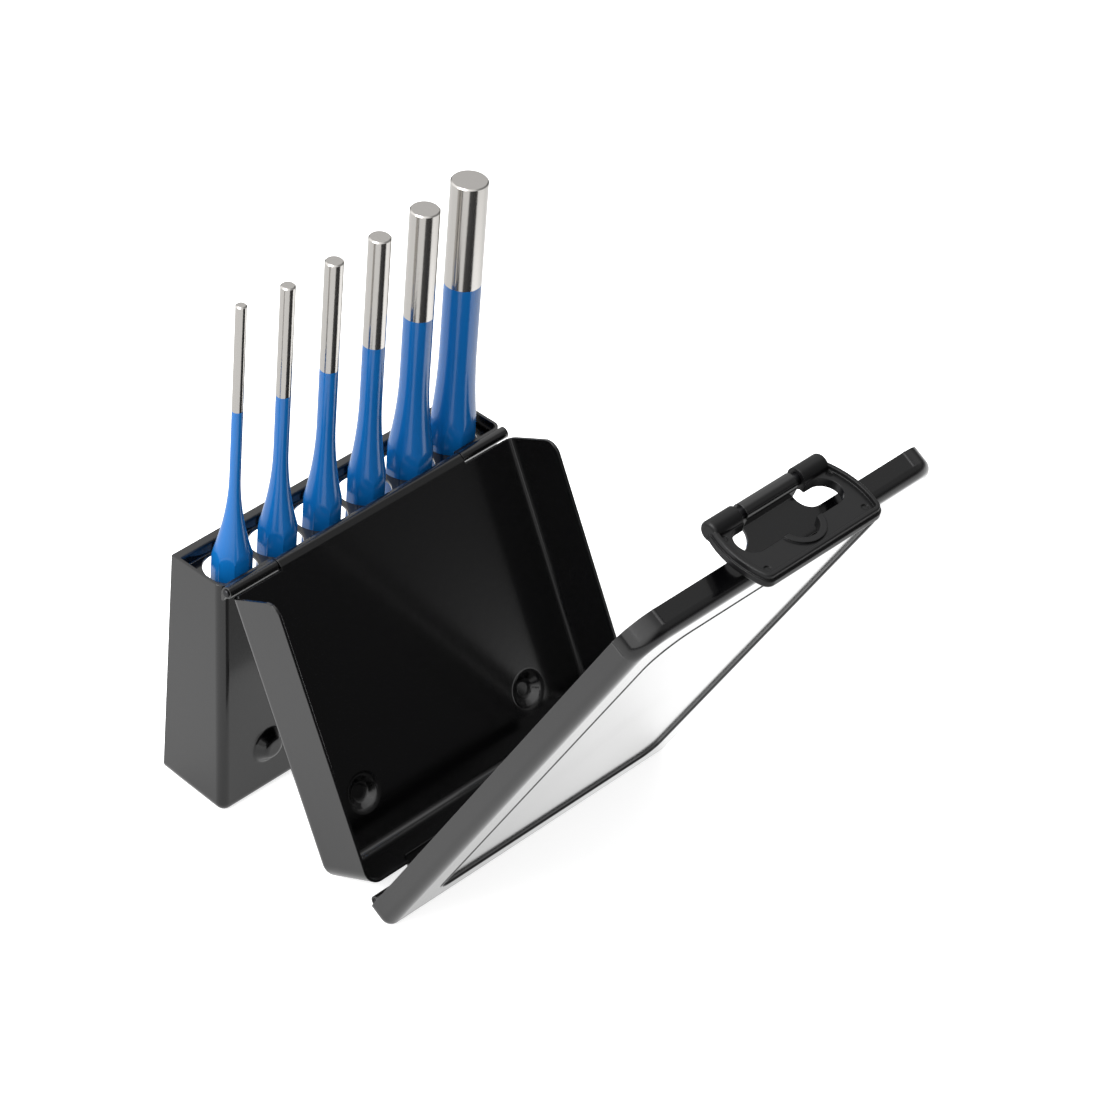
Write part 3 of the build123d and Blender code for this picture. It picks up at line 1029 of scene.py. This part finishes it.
@dataclass
class Studio:
    """White floor, soft surroundings, a softbox and the camera at the photograph's angle.

    Places are in millimetres. The softbox, the floor's size and the ends of its white part are
    in metres.
    """

    camera_at: tuple[float, float, float] = (-690.855, -671.316, 797.330)
    look_at: tuple[float, float, float] = (32.051, 29.108, 63.558)
    roll_degrees: float = 0.10
    lens_mm: float = 156.46
    key_at: tuple[float, float, float] = (-900.0, 150.0, 1100.0)
    key_aim_height: float = 60.0
    key_size: float = 0.9
    key_watts: float = 14.0
    ambient: float = 0.1
    glows: tuple[Glow, ...] = (
        Glow((-0.75, 0.25, 0.6), -0.1, 0.8, 1.4),
        Glow((0.55, 0.46, 0.69), 0.6, 0.97, 0.6),
        Glow((0.55, -0.36, 0.75), 0.6, 0.95, 0.25),
    )
    floor_size: float = 12.0
    paper: str = "#f4f4f4"
    paper_glow: float = 0.75
    white_near: float = 0.45
    white_far: float = 1.1
    far_floor: float = 0.3
    # Painted pool of light beside the lid and painted shade under the case, both in the floor's
    # painted reflection.
    painted_pool_at: tuple[float, float, float] = (90.0, -10.0, 0.0)
    painted_pool_radius: float = 60.0
    painted_pool_fade: float = 150.0
    painted_pool_gain: float = 1.6
    painted_shade_reach: float = 60.0
    deepest_painted_shade: float = 0.5

    def build(self) -> None:
        """Builds the floor, the world, the softbox and the camera."""
        self.add_floor()
        self.add_world()
        self.add_softbox()
        self.add_camera()
        bpy.context.scene.view_settings.view_transform = "Standard"

    def add_floor(self) -> None:
        """Adds a pale floor that is white to the camera and keeps the object's soft shadow."""
        half = self.floor_size / 2
        mesh = bpy.data.meshes.new("floor")
        corners = [(-half, -half, 0), (half, -half, 0), (half, half, 0), (-half, half, 0)]
        mesh.from_pydata(corners, [], [(0, 1, 2, 3)])
        floor = bpy.data.objects.new("floor", mesh)
        bpy.context.scene.collection.objects.link(floor)
        material, tree = new_material("white paper floor")
        path = add_node(tree, "ShaderNodeLightPath")
        matt = add_node(tree, "ShaderNodeBsdfDiffuse", {"Color": linear(self.paper)})
        seen = add_node(
            tree,
            "ShaderNodeMath",
            {0: path.outputs["Is Camera Ray"], 1: self.paper_glow},
            operation="MULTIPLY",
        )
        glow = add_node(tree, "ShaderNodeEmission", {"Color": (1, 1, 1, 1), "Strength": seen})
        paper = add_node(tree, "ShaderNodeAddShader", {0: matt, 1: glow})
        # Glossy rays see a painted reflection: an emission whose strength paints a pool of light
        # and shade on the floor.
        painted_reflection = add_node(
            tree,
            "ShaderNodeEmission",
            {"Color": (1, 1, 1, 1), "Strength": self.painted_floor_reflection(tree)},
        )
        surface = add_node(
            tree,
            "ShaderNodeMixShader",
            {"Fac": path.outputs["Is Glossy Ray"], 1: paper, 2: painted_reflection},
        )
        add_node(tree, "ShaderNodeOutputMaterial", {"Surface": surface})
        mesh.materials.append(material)

    def painted_floor_reflection(self, tree: bpy.types.NodeTree) -> bpy.types.Node:
        """Works out the painted brightness that glossy surfaces see in the floor, in place of
        real light.

        It paints a pool of light beside the lid and shade under the case from ambient occlusion,
        and fades to a darker room further out.

        Args:
            tree: Tree of the floor's material.

        Returns:
            The brightness.
        """
        place = add_node(tree, "ShaderNodeTexCoord").outputs["Object"]
        away = add_node(tree, "ShaderNodeVectorMath", {0: place}, operation="LENGTH")
        edge = (self.white_near, self.white_far)
        sheet = ramp(tree, away.outputs["Value"], edge, (1.0, self.far_floor))
        # Painted pool of light beside the lid.
        beside = add_node(
            tree,
            "ShaderNodeVectorMath",
            {0: place, 1: Vector(self.painted_pool_at) * MM},
            operation="DISTANCE",
        )
        patch = (self.painted_pool_radius * MM, self.painted_pool_fade * MM)
        painted_pool = ramp(tree, beside.outputs["Value"], patch, (self.painted_pool_gain, 1.0))
        # Painted shade under the case, from ambient occlusion.
        shade = add_node(
            tree,
            "ShaderNodeAmbientOcclusion",
            {"Distance": self.painted_shade_reach * MM},
            samples=SHADE_SAMPLES,
        )
        painted_shade_left = ramp(tree, shade.outputs["AO"], (0.0, 1.0), (self.deepest_painted_shade, 1.0))
        strength = add_node(tree, "ShaderNodeMath", {0: sheet, 1: painted_pool}, operation="MULTIPLY")
        return add_node(
            tree, "ShaderNodeMath", {0: strength, 1: painted_shade_left}, operation="MULTIPLY"
        )

    def add_world(self) -> None:
        """Adds surroundings that are white to the camera and light the object softly."""
        world = bpy.data.worlds.new("studio")
        world.use_nodes = True
        bpy.context.scene.world = world
        tree = world.node_tree
        tree.nodes.clear()
        path = add_node(tree, "ShaderNodeLightPath")
        place = add_node(tree, "ShaderNodeTexCoord")
        strength: Any = self.ambient
        for glow in self.glows:
            facing = add_node(
                tree,
                "ShaderNodeVectorMath",
                {0: place.outputs["Generated"], 1: Vector(glow.direction).normalized()},
                operation="DOT_PRODUCT",
            )
            lobe = ramp(
                tree,
                facing.outputs["Value"],
                (glow.fade_from, glow.full_from),
                (0.0, glow.strength),
                interpolation_type="SMOOTHSTEP",
            )
            strength = add_node(
                tree, "ShaderNodeMath", {0: lobe, 1: strength}, operation="ADD"
            )
        room = add_node(
            tree, "ShaderNodeBackground", {"Color": (1, 1, 1, 1), "Strength": strength}
        )
        white = add_node(tree, "ShaderNodeBackground", {"Color": (1, 1, 1, 1), "Strength": 1.0})
        mixed = add_node(
            tree,
            "ShaderNodeMixShader",
            {"Fac": path.outputs["Is Camera Ray"], 1: room, 2: white},
        )
        add_node(tree, "ShaderNodeOutputWorld", {"Surface": mixed})

    def add_softbox(self) -> None:
        """Adds the square softbox that faces the object from the left."""
        lamp = bpy.data.lights.new("key softbox", "AREA")
        lamp.size = self.key_size
        lamp.energy = self.key_watts
        holder = bpy.data.objects.new("key softbox", lamp)
        holder.location = Vector(self.key_at) * MM
        aim = Vector((0, 0, self.key_aim_height)) * MM - holder.location
        holder.rotation_mode = "QUATERNION"
        holder.rotation_quaternion = aim.to_track_quat("-Z", "Y")
        bpy.context.scene.collection.objects.link(holder)

    def add_camera(self) -> None:
        """Adds the camera where the photograph's camera stood."""
        lens = bpy.data.cameras.new("camera")
        lens.lens = self.lens_mm
        lens.sensor_width = 36.0
        camera = bpy.data.objects.new("camera", lens)
        back = (Vector(self.camera_at) - Vector(self.look_at)).normalized()
        right = Vector((0, 0, 1)).cross(back).normalized()
        up = back.cross(right)
        frame = Matrix((right, up, back)).transposed()
        frame = frame @ Matrix.Rotation(math.radians(self.roll_degrees), 3, "Z")
        camera.matrix_world = Matrix.Translation(Vector(self.camera_at) * MM) @ frame.to_4x4()
        bpy.context.scene.collection.objects.link(camera)
        bpy.context.scene.camera = camera


def main() -> None:
    """Builds every sub-assembly round the frame."""
    logging.basicConfig(level=logging.INFO, format="%(message)s")
    for leftover in list(bpy.data.objects):
        bpy.data.objects.remove(leftover)
    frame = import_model()
    FoldingCase(frame["nodes"], frame["record"]).build()
    HingeWires(frame["nodes"]).build()
    Latch(frame["nodes"]).build()
    PunchRow(frame["record"]).build()
    Studio().build()


if __name__ == "__main__":
    main()
